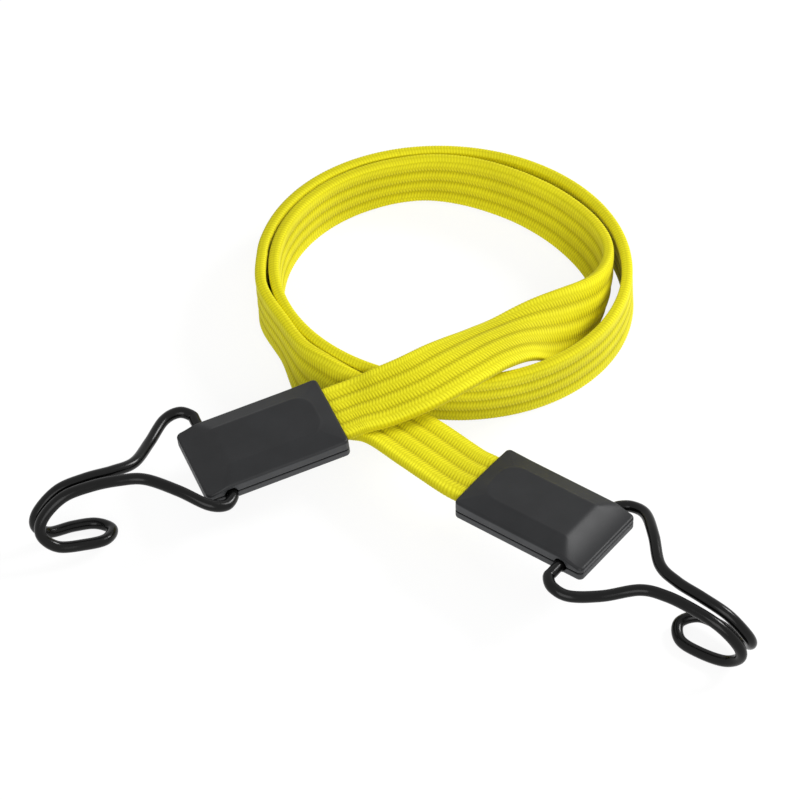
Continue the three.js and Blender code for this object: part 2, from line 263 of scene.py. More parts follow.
# %% [markdown]
# ## The section of the strap and its braid
#
# Four rubber strands lie side by side in one braided cover, so both faces have four round ribs
# with sharp valleys between them, and flat edges between two ridges. The braid shows as two
# columns of short stitches on each rib, slanted one way and the other, and it is drawn tight
# and smooth over the edges. At 0.83 mm from stitch to stitch the braid could be a bump in the
# material, but real relief also shows on the outline and in every other view, so each ring of
# points is pushed in and out by the stitch pattern.

# %% Section of the strap
RIB_COUNT = 4
EDGE_MARGIN = 0.6
RIB_PITCH = (STRAP_WIDTH - EDGE_MARGIN) / RIB_COUNT
OUTER_RIB = (RIB_COUNT - 1) / 2 * RIB_PITCH
RIB_HALF_THICKNESS = 1.4
RIB_DEPTH = 0.36
EDGE_ROUND = 0.7
EDGE_POINTS = 5
FACE_POINTS = 43


def rib_height(x):
    """1 on top of a rib and 0 in a valley: the size of a sine, whole to the edge past the
    middle of an outer rib."""
    return np.where(np.abs(x) > OUTER_RIB, 1.0, np.abs(np.sin(math.pi * x / RIB_PITCH)))


def strap_section():
    """Closed outline, x across and y through the strap, from the right edge over the outer
    face to the left edge and back under. Each corner is a quarter of an ellipse."""
    turn = np.linspace(0, math.pi / 2, EDGE_POINTS + 1)[:-1]
    flat = STRAP_WIDTH / 2 - EDGE_ROUND
    edge = flat + EDGE_ROUND * np.cos(turn)
    x = np.concatenate([edge, np.linspace(flat, -flat, FACE_POINTS), -edge[:0:-1]])
    fall = np.concatenate([np.sin(turn), np.ones(FACE_POINTS), np.sin(turn)[:0:-1]])
    y = (RIB_HALF_THICKNESS - RIB_DEPTH * (1 - rib_height(x))) * fall
    return np.concatenate([x, -x]), np.concatenate([y, -y])


section_x, section_y = strap_section()
step_x = np.roll(section_x, -1) - np.roll(section_x, 1)
step_y = np.roll(section_y, -1) - np.roll(section_y, 1)
section_normal = unit(np.stack([step_y, -step_x], axis=1))
print("points round the strap:", len(section_x))

# %% Stitch pattern
COLUMN_WIDTH = RIB_PITCH / 2
COLUMN_PHASE = 0.37
COLUMN_LOW = 0.35
COLUMN_CROWN = 0.6
COLUMN_EDGE = 0.04
STITCH_SLANT = 0.5
STITCH_CROWN = 0.8
STITCH_RELIEF = 0.18
MEAN_STITCH = 0.6
EDGE_STITCH = 0.3


def stitches(length, x, face):
    """Height of the braid from 0 in a gap to 1 on a stitch. Along the strap it is the size of
    a sine, whose phase leans one way in even columns and the other way in odd ones, and it
    falls at both sides of each column."""
    column = np.floor((x + STRAP_WIDTH / 2) / COLUMN_WIDTH)
    place = (x + STRAP_WIDTH / 2) / COLUMN_WIDTH - column
    lean = np.where(column % 2 == 0, 1, -1) * face
    offset = lean * STITCH_SLANT * (place - 0.5) + COLUMN_PHASE * column
    phase = length[:, None] / STITCH_PITCH + offset[None, :]
    crown = np.abs(np.sin(math.pi * phase)) ** STITCH_CROWN
    inside = np.clip(place, COLUMN_EDGE, 1 - COLUMN_EDGE)
    hump = COLUMN_LOW + (1 - COLUMN_LOW) * np.sin(math.pi * inside) ** COLUMN_CROWN
    return crown * hump[None, :]


# 1 on both faces, falling to 0 in the middle of each edge
ridge = np.clip(np.abs(section_y) / (RIB_HALF_THICKNESS - RIB_DEPTH), 0, 1)
face_side = np.where(section_y >= 0, 1.0, -1.0)
braid = stitches(strap_length, section_x, face_side)
braid = MEAN_STITCH + (braid - MEAN_STITCH) * (EDGE_STITCH + (1 - EDGE_STITCH) * ridge)
print("stitches along the strap:", int(strap_length[-1] / STITCH_PITCH))


# %% Meshes from grids
FLOOR_CLEARANCE = 0.02


def grid_mesh(name, points, closed_round=True, caps=True, attributes=()):
    """Mesh of a grid of points, rows by columns, in millimetres. Each cell is a quad; the
    columns close into a ring, and the first and last rows are closed by one face each."""
    rows, columns = points.shape[:2]
    index = np.arange(rows * columns).reshape(rows, columns)
    right = np.roll(index, -1, axis=1) if closed_round else index[:, 1:]
    left = index if closed_round else index[:, :-1]
    quads = np.stack([left[:-1], right[:-1], right[1:], left[1:]], axis=-1).reshape(-1, 4)
    mesh = bpy.data.meshes.new(name)
    faces = quads.tolist()
    if caps:
        faces += [index[0][::-1].tolist(), index[-1].tolist()]
    mesh.from_pydata((points.reshape(-1, 3) * MM).tolist(), [], faces)
    mesh.polygons.foreach_set("use_smooth", np.ones(len(faces), bool))
    for label, values in attributes:
        layer = mesh.attributes.new(label, "FLOAT", "POINT")
        layer.data.foreach_set("value", values.reshape(-1).astype(np.float32))
    mesh.update()
    piece = bpy.data.objects.new(name, mesh)
    scene.collection.objects.link(piece)
    return piece


def strap_piece(name, first, last):
    """One stretch of the strap, from ring first to ring last: the section, pushed out along
    its own normal by the braid, carried on the strap's axes."""
    rings = slice(first, last + 1)
    push = STITCH_RELIEF * (braid[rings] - MEAN_STITCH)
    x = section_x + push * section_normal[:, 0]
    y = section_y + push * section_normal[:, 1]
    points = carried(rings, x, y)
    points[..., 2] = np.maximum(points[..., 2], FLOOR_CLEARANCE)
    # The rib mask is kept on the mesh for painted shade in the valleys and on the edges and a
    # painted highlight on the crests
    rib_shade_and_highlight_mask = np.broadcast_to(rib_height(section_x) * ridge, braid[rings].shape)
    return grid_mesh(name, points, attributes=[("stitch", braid[rings]), ("rib", rib_shade_and_highlight_mask)])


def ring_at_angle(angle):
    """Number of the ring at an angle of the coil, counted along the route."""
    station = len(mouth_a) + len(LEAD_A) + int(round((angle - COIL_START) / COIL_STEP))
    before = fine[:station * SPAN_POINTS + 1, :3]
    travelled = np.linalg.norm(np.diff(before, axis=0), axis=1).sum()
    return int(round(travelled / strap_length[-1] * (len(route) - 1)))


# %% Four stretches of the strap
INNER_TURN_END = 300.0
OUTER_TURN_END = 470.0
turn_ends = [ring_at_angle(angle) for angle in (COIL_START, INNER_TURN_END, OUTER_TURN_END)]
cuts = [0, *turn_ends, len(route) - 1]
strap_names = ["strap_lead_a", "strap_turn_inner", "strap_turn_outer", "strap_lead_b"]
straps = [strap_piece(name, a, b) for name, a, b in zip(strap_names, cuts[:-1], cuts[1:])]
print("rings in each stretch:", [b - a for a, b in zip(cuts[:-1], cuts[1:])])

# %% Tie the strap to the frame
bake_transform(straps[0])
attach(straps[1], "strap")
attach(straps[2], "strap")
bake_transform(straps[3])
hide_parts("cover_lead_a")
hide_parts("cover_coil")
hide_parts("cover_lead_b")
print("lengths of the stretches in mm:", np.round(np.diff(strap_length[cuts]), 1).tolist())

# %% [markdown]
# ## Rubber strands
#
# Inside the cover, four oval rubber strands do the stretching. They don't show, and one wide
# core would be hidden just as well, but the real cord has four. So each stretch of each strand
# is a tube on the strap's route.

# %% Rubber strands
STRAND_WIDTH = 2.7
STRAND_THICKNESS = 1.5
STRAND_SIDES = 10
STRAND_RINGS = 8


def strand(name, centre, first, last):
    """An oval carried along the strap's route at one rib's middle."""
    rings = np.append(np.arange(first, last, STRAND_RINGS), last)
    turn = np.linspace(0, 2 * math.pi, STRAND_SIDES, endpoint=False)
    x = (centre + STRAND_WIDTH / 2 * np.cos(turn))[None, :]
    y = (STRAND_THICKNESS / 2 * np.sin(turn))[None, :]
    return grid_mesh(name, carried(rings, x, y))


coil_end = ring_at_angle(COIL_END)
stretches = {
    "lead_a": (cuts[0], cuts[1]),
    "coil": (cuts[1], coil_end),
    "lead_b": (coil_end, cuts[-1]),
}
strands = []
for number in range(RIB_COUNT):
    centre = number * RIB_PITCH - OUTER_RIB
    for place, (first, last) in stretches.items():
        piece = strand(f"rubber_core_{number + 1}_{place}", centre, first, last)
        if place == "lead_a":
            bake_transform(piece)
        elif place == "lead_b":
            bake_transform(piece)
        else:
            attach(piece, "strap")
        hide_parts(f"rubber_strand_{number + 1}_{place}")
        strands.append(piece)
print("rubber strands:", len(strands))

# %% [markdown]
# ## Housings
#
# Each housing is moulded in two shells that meet in a seam low on the side wall. The upper
# shell has a raised flat panel with round corners at the strap's mouth, sloping sides, and at
# the hook end a hollow ramp that spreads to the full width. A box with bevels would show none
# of this softness. Here a shell is two heights over one plan outline, a top and an underside,
# on rings of points that run from the middle line out to the outline and down the wall.

# %% Plan of a housing
HOUSING_WIDTH = 24.0
PLAN_CORNER = 1.4
SIDE_POINTS = 96
END_POINTS = 72
CORNER_POINTS = 10
HALF_WIDTH = HOUSING_WIDTH / 2


def plan_outline():
    """Rounded rectangle, counter-clockwise from the hook end: four straights and four arcs."""
    x0, x1 = -HOUSING_LENGTH + PLAN_CORNER, -PLAN_CORNER
    y1 = HALF_WIDTH - PLAN_CORNER
    ends = np.linspace(-y1, y1, END_POINTS)
    sides = np.linspace(x1, x0, SIDE_POINTS)
    turn = np.linspace(0, math.pi / 2, CORNER_POINTS + 2)[1:-1]
    arc = PLAN_CORNER * np.stack([np.cos(turn), np.sin(turn)], axis=1)
    back = arc[::-1]
    return np.concatenate([
        np.stack([0 * ends, ends], axis=1),
        np.stack([x1 + arc[:, 0], y1 + arc[:, 1]], axis=1),
        np.stack([sides, 0 * sides + HALF_WIDTH], axis=1),
        np.stack([x0 - back[:, 0], y1 + back[:, 1]], axis=1),
        np.stack([0 * ends - HOUSING_LENGTH, ends[::-1]], axis=1),
        np.stack([x0 - arc[:, 0], -y1 - arc[:, 1]], axis=1),
        np.stack([sides[::-1], 0 * sides - HALF_WIDTH], axis=1),
        np.stack([x1 + back[:, 0], -y1 - back[:, 1]], axis=1),
    ])


def from_outline(x, y):
    """Distance inwards from the plan outline."""
    dx = np.abs(x + HOUSING_LENGTH / 2) - (HOUSING_LENGTH / 2 - PLAN_CORNER)
    dy = np.abs(y) - (HALF_WIDTH - PLAN_CORNER)
    outside = np.hypot(np.maximum(dx, 0), np.maximum(dy, 0)) + np.minimum(np.maximum(dx, dy), 0)
    return PLAN_CORNER - outside


outline = plan_outline()
middle_x = np.clip(outline[:, 0], -HOUSING_LENGTH + HALF_WIDTH, -HALF_WIDTH)
middle = np.stack([middle_x, 0 * middle_x], axis=1)
print("points round a housing:", len(outline))

# %% The raised panel
WALL_TOP = 5.4
PANEL_TOP = 7.2
MOUTH_TOP = 6.0
RAMP_END = 4.2
PANEL_INSET = 5.5
MOUTH_BEVEL = 4.6
PANEL_CORNER = 4.4
RAMP_LENGTH = 8.5
RAMP_HOLLOW = 1.7
RAMP_STOP = 2.0
CREASE = 0.24
PANEL_SOFT_START = 0.2
PANEL_SOFT_WIDTH = 1.0
NEARLY_ZERO = 1e-9


def step_up(value, width):
    """0 below zero and 1 above, with a smooth step of that width."""
    t = np.clip(value / width + 0.5, 0, 1)
    return t * t * (3 - 2 * t)


def lower_of(a, b, soft):
    """The lower of two heights, rounded over where they cross."""
    return np.minimum(a, b) - soft * np.log1p(np.exp(-np.abs(a - b) / soft))


def panel_height(x, y):
    """The raised panel with its sloping sides, mouth slope and hollow ramp. A slope's share is 0
    at the panel's rounded edge and 1 at the outline: the distance out from the panel over that
    distance and the distance left to the outline together."""
    past_mouth = -HOUSING_LENGTH + MOUTH_BEVEL + PANEL_CORNER - x
    past_side = np.abs(y) - HALF_WIDTH + PANEL_INSET + PANEL_CORNER
    corner = np.hypot(np.maximum(past_mouth, 0), np.maximum(past_side, 0))
    past = corner + np.minimum(np.maximum(past_mouth, past_side), 0) - PANEL_CORNER
    left = np.maximum(from_outline(x, y), 0)
    share = np.maximum(past, 0) / (np.maximum(past, 0) + left + NEARLY_ZERO)
    sideways = np.maximum(past_side, 0) / (corner + NEARLY_ZERO)
    edge = MOUTH_TOP + (WALL_TOP - MOUTH_TOP) * sideways**2
    softened = share * step_up(past - PANEL_SOFT_START, PANEL_SOFT_WIDTH)
    rise = np.clip(-x / RAMP_LENGTH, 0, RAMP_STOP) ** RAMP_HOLLOW
    slopes = PANEL_TOP - (PANEL_TOP - edge) * softened
    return lower_of(slopes, RAMP_END + (PANEL_TOP - RAMP_END) * rise, CREASE)


print("height of the panel in mm:", round(float(panel_height(-HOUSING_LENGTH / 2, 0.0)), 2))

# %% Seam, slot and bore
LOWER_HEIGHT = 2.4
SEAM_TOP = 2.7
SLOT_HALF_HEIGHT = 1.75
SLOT_HALF_WIDTH = 9.3
SLOT_SOFT = 0.3
PIVOT_FROM_HOOK_END = 6.5
PIVOT_HEIGHT = 2.55
BORE_RADIUS = 1.8


def slot_share(x, y):
    """1 in the slot that takes the strap, 0 outside it."""
    beside = step_up(SLOT_HALF_WIDTH - np.abs(y), SLOT_SOFT)
    return beside * step_up(-STRAP_END_FROM_HOOK_END - x, SLOT_SOFT)


def bore_half(x):
    """Half the height of the wire's bore at a place along the housing."""
    return np.sqrt(np.maximum(BORE_RADIUS**2 - (x + PIVOT_FROM_HOOK_END) ** 2, 0))


def upper_underside(x, y):
    """The seam's upper face, raised over the strap's slot and over the wire's bore."""
    slot = SEAM_TOP + (STRAP_HEIGHT + SLOT_HALF_HEIGHT - SEAM_TOP) * slot_share(x, y)
    return np.maximum(slot, np.where(bore_half(x) > 0, PIVOT_HEIGHT + bore_half(x), 0))


def lower_top(x, y):
    """The seam's lower face, sunk under the strap's slot and under the wire's bore."""
    slot = LOWER_HEIGHT + (STRAP_HEIGHT - SLOT_HALF_HEIGHT - LOWER_HEIGHT) * slot_share(x, y)
    return np.minimum(slot, np.where(bore_half(x) > 0, PIVOT_HEIGHT - bore_half(x), np.inf))


def flat_underside(x, y):
    """The flat face that a housing rests on."""
    return 0 * x


print("seam in mm:", round(SEAM_TOP - LOWER_HEIGHT, 2), "slot in mm:", 2 * SLOT_HALF_HEIGHT)

# %% Shell meshes
TOP_ROUND = 0.7
SEAM_ROUND = 0.22
UNDER_ROUND = 0.9
FACE_RINGS = 44
EDGE_RINGS = 15
EDGE_SHARE = 0.1
WALL_RINGS = 8
LEAST_WALL = 0.3
MERGE_DISTANCE = 0.001


def rounded(inwards, radius):
    """How far a surface falls near the outline, as the quarter of a circle."""
    near = np.clip(1 - inwards / radius, 0, 1)
    return radius * (1 - np.sqrt(1 - near**2))


def merge_doubles(piece):
    """Joins points that lie on each other, such as both sides of a middle line."""
    work = bmesh.new()
    work.from_mesh(piece.data)
    bmesh.ops.remove_doubles(work, verts=work.verts, dist=MERGE_DISTANCE * MM)
    bmesh.ops.recalc_face_normals(work, faces=work.faces)
    work.to_mesh(piece.data)
    work.free()


def shell(name, top, underside, top_round, under_round, end):
    """Closed shell between two heights over the plan: rings out from the middle line, close
    together at the rounded edge, then down the wall, then back in along the underside."""
    turn = np.linspace(0, math.pi / 2, EDGE_RINGS)[1:]
    face = np.linspace(1, EDGE_SHARE, FACE_RINGS)
    out = 1 - np.concatenate([face, EDGE_SHARE * (1 - np.sin(turn))])
    plan = middle[None] + out[:, None, None] * (outline - middle)[None]
    x, y = plan[..., 0], plan[..., 1]
    inwards = from_outline(x, y)
    over = top(x, y) - rounded(inwards, top_round)
    under = np.minimum(underside(x, y) + rounded(inwards, under_round), over - LEAST_WALL)
    down = np.linspace(0, 1, WALL_RINGS + 2)[1:-1, None]
    wall = over[-1] * (1 - down) + under[-1] * down
    rim = np.broadcast_to(outline, (WALL_RINGS,) + outline.shape)
    points = np.concatenate([
        np.dstack([plan, over]),
        np.dstack([rim, wall]),
        np.dstack([plan[::-1], under[::-1]]),
    ])
    piece = grid_mesh(name, in_frame(points.reshape(-1, 3), end).reshape(points.shape), caps=False)
    merge_doubles(piece)
    return piece


# %% Both housings
housings = []
for letter, end in (("a", END_A), ("b", END_B)):
    upper = shell(
        f"shell_upper_{letter}", panel_height, upper_underside, TOP_ROUND, SEAM_ROUND, end)
    lower = shell(
        f"shell_lower_{letter}", lower_top, flat_underside, SEAM_ROUND, UNDER_ROUND, end)
    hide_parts(f"housing_upper_{letter}")
    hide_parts(f"housing_lower_{letter}")
    for piece in (upper, lower):
        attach(piece, f"end_{letter}")
        housings.append(piece)
print("faces in a shell:", len(housings[0].data.polygons))

# %% [markdown]
# ## Hooks
#
# Each hook is one length of 3 mm wire. Its two ends lie in the housing's bore. From there each
# half comes out of the side, bows out into a leg, runs beside the other half and curls down and
# back, and the halves meet in a rounded tip. A curve object with a round bevel would do, but a
# tube on a grid is made as the strap is and has as many sides as the highlights need.

# %% Stations of a hook
HOOK_REACH = 48.2
HOOK_DEPTH = 13.0
RETURN_DROP = 2.0
TIP_FROM_PIVOT = 28.8
LEG_SPREAD = 17.2
RUN_SPREAD = 2.0
TIP_SPREAD = 4.6
STUB_END = 7.0
RUN_HEIGHT = 1.8


def hook_stations():
    """Half of the wire: distance out from the pivot, height over it, half the spread."""
    curl = RUN_HEIGHT - HOOK_DEPTH
    return np.array([
        (0, 0, STUB_END),
        (0, 0, HALF_WIDTH + 1.2),
        (0.2, 0, LEG_SPREAD - 2),
        (3, 0.2, LEG_SPREAD + 0.2),
        (7.5, 0.5, LEG_SPREAD - 0.6),
        (13.5, 1.1, 11),
        (20, RUN_HEIGHT, 4.3),
        (26.5, RUN_HEIGHT + 0.6, RUN_SPREAD + 0.4),
        (34, RUN_HEIGHT + 1, RUN_SPREAD),
        (HOOK_REACH - 6.7, RUN_HEIGHT, RUN_SPREAD - 0.1),
        (HOOK_REACH - 1, RUN_HEIGHT - 0.35 * HOOK_DEPTH, RUN_SPREAD - 0.1),
        (HOOK_REACH, RUN_HEIGHT - 0.7 * HOOK_DEPTH, RUN_SPREAD + 0.4),
        (HOOK_REACH - 3.7, curl, TIP_SPREAD - 1),
        (HOOK_REACH - 10.5, curl - 0.5 * RETURN_DROP, TIP_SPREAD),
        (TIP_FROM_PIVOT + 3, curl - 0.85 * RETURN_DROP, TIP_SPREAD - 0.6),
        (TIP_FROM_PIVOT, curl - RETURN_DROP, 0),
    ])


print("stations of a half hook:", len(hook_stations()))

# %% Hook wire
WIRE_RADIUS = 1.5
WIRE_SIDES = 24
WIRE_STEP = 0.45
HOOK_LEAN = math.radians(-14.0)
LEAN_MIDDLE = 11.0
LEAN_LENGTH = 18.0
LEG_OFFSET = -2.0


def wire_line(end):
    """Middle line of the whole wire in the shared frame: the half and its mirror image, leaned
    over past the legs, swung about the pivot and set in the housing."""
    half = hook_stations()
    whole = np.concatenate([half, half[-2::-1] * [1, 1, -1]])
    x, height, spread = whole.T
    lean = HOOK_LEAN * step_up(x - LEAN_MIDDLE, LEAN_LENGTH)
    z = height * np.cos(lean) - spread * np.sin(lean)
    y = height * np.sin(lean) + spread * np.cos(lean) + LEG_OFFSET * (1 - x / HOOK_REACH)
    swing = turned(0, -end["swing"], 0)
    points = np.stack([x, y, z], axis=1) @ swing.T + [-PIVOT_FROM_HOOK_END, 0, PIVOT_HEIGHT]
    return equal_steps(catmull_rom(in_frame(points, end), SPAN_POINTS), WIRE_STEP)[1]


def tube(name, line, side_axis, up_axis):
    """Round tube along a line. The section's first axis is square to the line and to a guide
    that turns from the side axis to the upright one where the wire itself runs sideways."""
    ahead = unit(np.gradient(line, axis=0))
    sideways = np.abs(ahead @ side_axis)[:, None]
    guide = side_axis * (1 - sideways) + up_axis * sideways
    first = unit(np.cross(ahead, guide))
    second = np.cross(ahead, first)
    turn = np.linspace(0, 2 * math.pi, WIRE_SIDES, endpoint=False)[None, :, None]
    ring = np.cos(turn) * first[:, None] + np.sin(turn) * second[:, None]
    return grid_mesh(name, line[:, None] + WIRE_RADIUS * ring)


hooks = []
for letter, end in (("a", END_A), ("b", END_B)):
    axes = turned(end["yaw"], end["pitch"], end["roll"])
    hook = tube(f"hook_wire_{letter}", wire_line(end), axes[:, 1], axes[:, 2])
    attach(hook, f"hook_{letter}")
    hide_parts(f"wire_hook_{letter}")
    hooks.append(hook)
print("wire length of a hook in mm:", round(WIRE_STEP * len(wire_line(END_A)), 1))

# %% [markdown]
# ## Materials
#
# Every finish is a Principled shader with its colours written as sRGB hex. One function turns
# hex to linear light, and one adds a node with its settings and links. Nodes could be placed
# by hand in the shader editor, but then this file would not hold them.


# %% Helpers for materials
def linear(code):
    """Hex sRGB to linear light: the low part is divided by 12.92, the rest is a power of 2.4."""
    value = np.array([int(code[i:i + 2], 16) for i in (1, 3, 5)]) / 255
    light = np.where(value <= 0.04045, value / 12.92, ((value + 0.055) / 1.055) ** 2.4)
    return (*light.tolist(), 1.0)


def add(tree, kind, inputs=None, stops=(), **settings):
    """Adds a node. Among the inputs a socket is linked, a node is linked by its first output,
    and any other value is set. The stops of a colour ramp are places and hex colours."""
    node = tree.nodes.new(kind)
    for label, value in settings.items():
        setattr(node, label, value)
    for label, value in (inputs or {}).items():
        if isinstance(value, bpy.types.Node):
            value = value.outputs[0]
        if isinstance(value, bpy.types.NodeSocket):
            tree.links.new(value, node.inputs[label])
        else:
            node.inputs[label].default_value = value
    if stops:
        elements = node.color_ramp.elements
        elements[0].position, elements[1].position = stops[0][0], stops[-1][0]
        for place, _ in stops[1:-1]:
            elements.new(place)
        for element, (_, code) in zip(elements, stops):
            element.color = linear(code)
    return node


def new_material(name):
    """An empty node material and its tree."""
    material = bpy.data.materials.new(name)
    material.use_nodes = True
    material.node_tree.nodes.clear()
    return material, material.node_tree


def dress(pieces, material):
    """Gives pieces one material."""
    for piece in pieces:
        piece.data.materials.clear()
        piece.data.materials.append(material)
    print(material.name, "on", len(pieces), "pieces, nodes:", len(material.node_tree.nodes))


print("mid grey in linear light:", round(linear("#808080")[0], 3))

# %% [markdown]
# ## The cover's finish
#
# The cover is braided from bright yellow polyester yarn. A checked pattern could be laid along
# the strap on a UV map, but it would not follow the relief. The height of the braid is already
# kept at every point, so the colour reads that: pale on a stitch as a painted highlight and
# deeper in the gaps as painted shade. Painted shade also darkens the rib valleys and the flat
# edges, and a painted highlight runs along each rib's crest.

# %% Braided polyester
# Fibres are about 0.03 mm thick; their grain is drawn coarser so that it shows
YARN_GRAIN = 0.35
YARN_DEPTH = 0.05
SOIL_PATCH = 26.0
# Shares in the yarn's colour: painted shade in the stitch gaps, rib valleys and flat edges, a
# painted highlight on the rib crests, and the yarn's own grain
STITCH_SHADE_SHARE = 0.56
PAINTED_VALLEY_SHADE_SHARE, PAINTED_VALLEY_SHADE_POWER = 0.22, 0.4
PAINTED_CREST_HIGHLIGHT_SHARE, PAINTED_CREST_HIGHLIGHT_POWER = 0.14, 6.0
GRAIN_SHARE = 0.13
GAP_ROUGHNESS, STITCH_ROUGHNESS = 0.9, 0.62
YARN_AND_PAINTED_SHADE_COLOURS = [(0.15, "#9C9002"), (0.5, "#DCD206"), (0.92, "#FFF824")]
SOIL_COLOURS = [(0.35, "#F1F0EA"), (0.6, "#FFFFFF")]


# Bright yellow yarn. Stitches stand out as pale dashes, brightest along the crest of each rib,
# which is a painted highlight. The gaps between them, the valleys and the flat edges are darker
# with painted shade. A fine grain breaks up each dash as loose fibres do, and wide faint patches
# show where hands have dulled it.
def braided_polyester():
    material, tree = new_material("braided_polyester_yellow")
    place = add(tree, "ShaderNodeTexCoord").outputs["Object"]
    stitch = add(tree, "ShaderNodeAttribute", attribute_name="stitch").outputs["Fac"]
    rib = add(tree, "ShaderNodeAttribute", attribute_name="rib").outputs["Fac"]
    grain = add(tree, "ShaderNodeTexNoise", {
        "Vector": place, "Scale": 1 / (YARN_GRAIN * MM), "Detail": 2.0,
    })
    soil = add(tree, "ShaderNodeTexNoise", {
        "Vector": place, "Scale": 1 / (SOIL_PATCH * MM), "Detail": 3.0,
    })
    # Painted shade in the rib valleys and on the flat edges, and a painted highlight along each
    # crest
    painted_valley_shade = add(tree, "ShaderNodeMath", {0: rib, 1: PAINTED_VALLEY_SHADE_POWER}, operation="POWER")
    painted_crest_highlight = add(tree, "ShaderNodeMath", {0: rib, 1: PAINTED_CREST_HIGHLIGHT_POWER}, operation="POWER")
    shade = add(tree, "ShaderNodeMath", {0: stitch, 1: STITCH_SHADE_SHARE}, operation="MULTIPLY")
    for part, share in ((painted_valley_shade, PAINTED_VALLEY_SHADE_SHARE), (painted_crest_highlight, PAINTED_CREST_HIGHLIGHT_SHARE), (grain, GRAIN_SHARE)):
        inputs = {0: part, 1: share, 2: shade}
        shade = add(tree, "ShaderNodeMath", inputs, operation="MULTIPLY_ADD")
    yarn_and_painted_shade = add(tree, "ShaderNodeValToRGB", {"Fac": shade}, stops=YARN_AND_PAINTED_SHADE_COLOURS)
    dulled = add(tree, "ShaderNodeValToRGB", {"Fac": soil}, stops=SOIL_COLOURS)
    both = {0: 1.0, 6: yarn_and_painted_shade, 7: dulled}
    colour = add(tree, "ShaderNodeMix", both, data_type="RGBA", blend_type="MULTIPLY")
    rough = add(tree, "ShaderNodeMapRange", {0: stitch, 3: GAP_ROUGHNESS, 4: STITCH_ROUGHNESS})
    bump = add(tree, "ShaderNodeBump", {
        "Height": grain, "Strength": 0.25, "Distance": YARN_DEPTH * MM,
    })
    shader = add(tree, "ShaderNodeBsdfPrincipled", {
        "Base Color": colour.outputs[2], "Roughness": rough, "IOR": 1.5,
        "Specular IOR Level": 0.25, "Sheen Weight": 0.06, "Sheen Roughness": 0.4,
        "Normal": bump,
    })
    add(tree, "ShaderNodeOutputMaterial", {"Surface": shader})
    return material


dress(straps, braided_polyester())

# %% [markdown]
# ## The housings' finish
#
# The housings are moulded in black polypropylene, in a mould with a spark-eroded grain. One
# even black would do for a small picture, but a real moulding is rubbed smoother in places, and
# the walls of this one catch more light than its panel. Noise gives the rubbed patches, and the
# direction of the surface in the object's own axes tells the panel from the walls and from the
# underside, which are painted paler: painted light, not a finish of their own.

# %% Moulded plastic
# Spark grain is about 0.05 mm wide; it is drawn coarser so that it shows
SPARK_GRAIN = 0.4
SPARK_DEPTH = 0.05
RUB_PATCH = 7.0
RUB_LOW, RUB_HIGH = 0.3, 0.7
RUB_ROUGHNESS = (0.49, 0.45)
# Steep faces, the walls and the underside, are painted paler than the panel: painted light
PAINTED_LIGHT_FROM, PAINTED_LIGHT_FULL = 0.55, 0.15
PANEL_COLOURS = [(RUB_LOW, "#121315"), (RUB_HIGH, "#1A1B1D")]
PAINTED_LIGHT_WALL_COLOURS = [(RUB_LOW, "#38393B"), (RUB_HIGH, "#424345")]


# Black polypropylene: the grain scatters highlights into a soft grey, and rubbed patches give
# the panel its slightly uneven shine. The walls and the underside are painted paler as painted
# light, and the seam shows as a dark line between two grey bands.
def moulded_plastic():
    material, tree = new_material("moulded_polypropylene_black")
    place = add(tree, "ShaderNodeTexCoord")
    grain = add(tree, "ShaderNodeTexNoise", {
        "Vector": place.outputs["Object"], "Scale": 1 / (SPARK_GRAIN * MM), "Detail": 3.0,
    })
    rub = add(tree, "ShaderNodeTexNoise", {
        "Vector": place.outputs["Object"], "Scale": 1 / (RUB_PATCH * MM), "Detail": 4.0,
    })
    upright = add(tree, "ShaderNodeSeparateXYZ", {0: place.outputs["Normal"]}).outputs[2]
    # Painted light: the steeper the face, the more of the paler wall colour
    painted_wall_light_mask = add(tree, "ShaderNodeMapRange", {0: upright, 1: PAINTED_LIGHT_FROM, 2: PAINTED_LIGHT_FULL})
    panel = add(tree, "ShaderNodeValToRGB", {"Fac": rub}, stops=PANEL_COLOURS)
    wall = add(tree, "ShaderNodeValToRGB", {"Fac": rub}, stops=PAINTED_LIGHT_WALL_COLOURS)
    colour = add(tree, "ShaderNodeMix", {0: painted_wall_light_mask, 6: panel, 7: wall}, data_type="RGBA")
    rough = add(tree, "ShaderNodeMapRange", {
        0: rub, 1: RUB_LOW, 2: RUB_HIGH, 3: RUB_ROUGHNESS[0], 4: RUB_ROUGHNESS[1],
    })
    bump = add(tree, "ShaderNodeBump", {
        "Height": grain, "Strength": 0.3, "Distance": SPARK_DEPTH * MM,
    })
    shader = add(tree, "ShaderNodeBsdfPrincipled", {
        "Base Color": colour.outputs[2], "Roughness": rough, "IOR": 1.49,
        "Specular IOR Level": 0.33, "Normal": bump,
    })
    add(tree, "ShaderNodeOutputMaterial", {"Surface": shader})
    return material


dress(housings, moulded_plastic())

# %% [markdown]
# ## Wire, rubber and steel
#
# The hooks are steel wire dipped in black, the strands are natural rubber, and the clips that
# hold the strap inside the housings are bent from rolled steel sheet. Painted pictures could
# give each its marks, but noise on the object's own coordinates needs no UV map and no file.

# %% Coated wire
COAT_RIPPLE = 2.2
COAT_DEPTH = 0.1
RIPPLE_LOW, RIPPLE_HIGH = 0.3, 0.7
COAT_ROUGHNESS = (0.16, 0.26)


